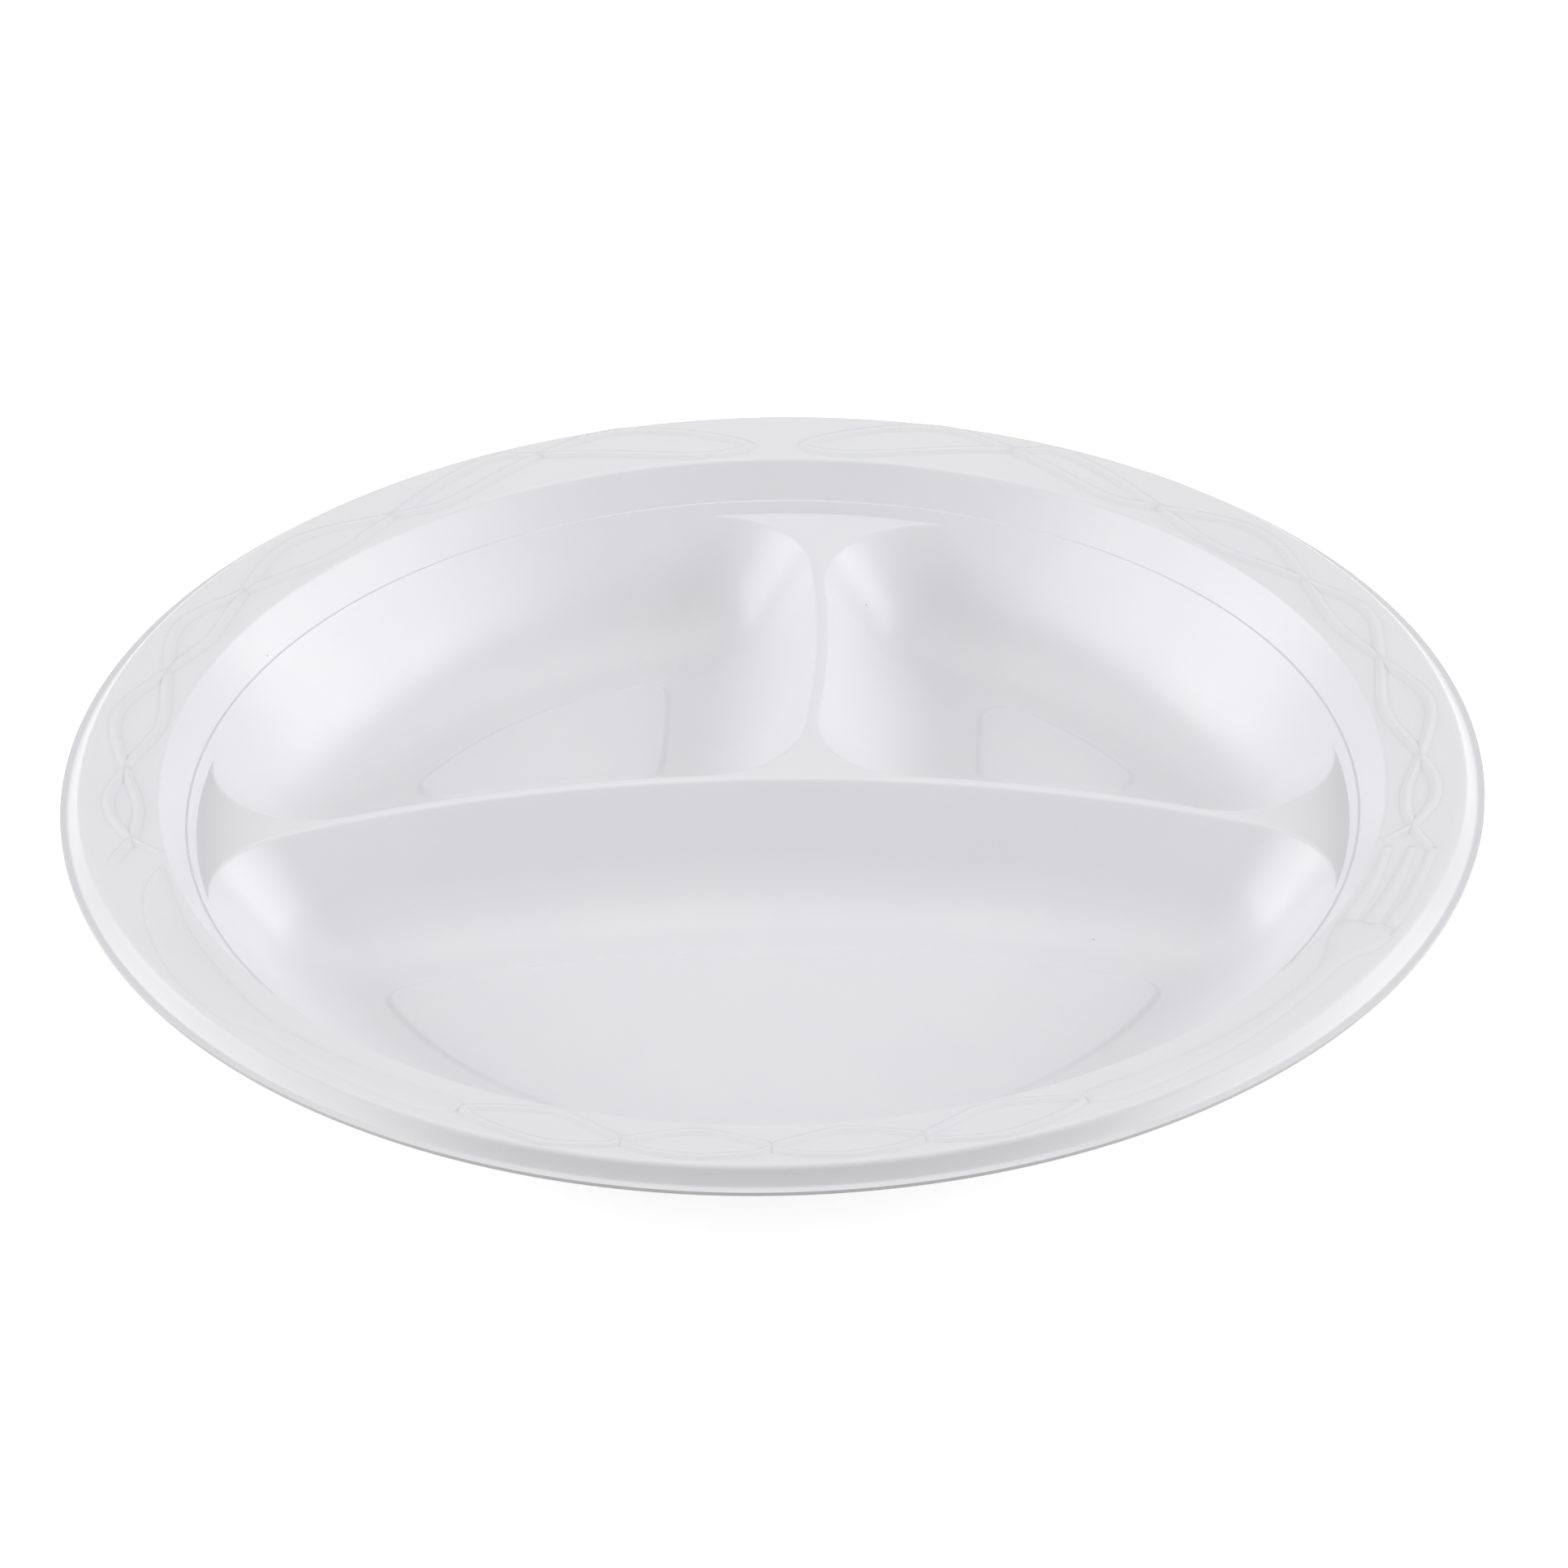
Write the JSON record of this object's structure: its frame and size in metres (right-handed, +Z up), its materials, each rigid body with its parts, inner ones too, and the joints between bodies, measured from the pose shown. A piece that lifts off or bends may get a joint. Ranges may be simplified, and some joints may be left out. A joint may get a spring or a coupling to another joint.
{
  "type": "three-compartment plate",
  "caption": "Round moulded plastic plate with a large front compartment, smaller back compartments, bowed dividers, a stepped well and a turned-down rim edge.",
  "frame": {"origin": "middle of the plate, on the surface that it stands on", "axes": "+Z up out of the plate, +Y from the large compartment towards the two small ones, +X towards the smallest compartment"},
  "size_m": [0.2286, 0.2286, 0.026],
  "materials": {
    "sheet": "satin gloss, white"
  },
  "bodies": {
    "root": {"plate": "sheet"}
  },
  "joints": []
}
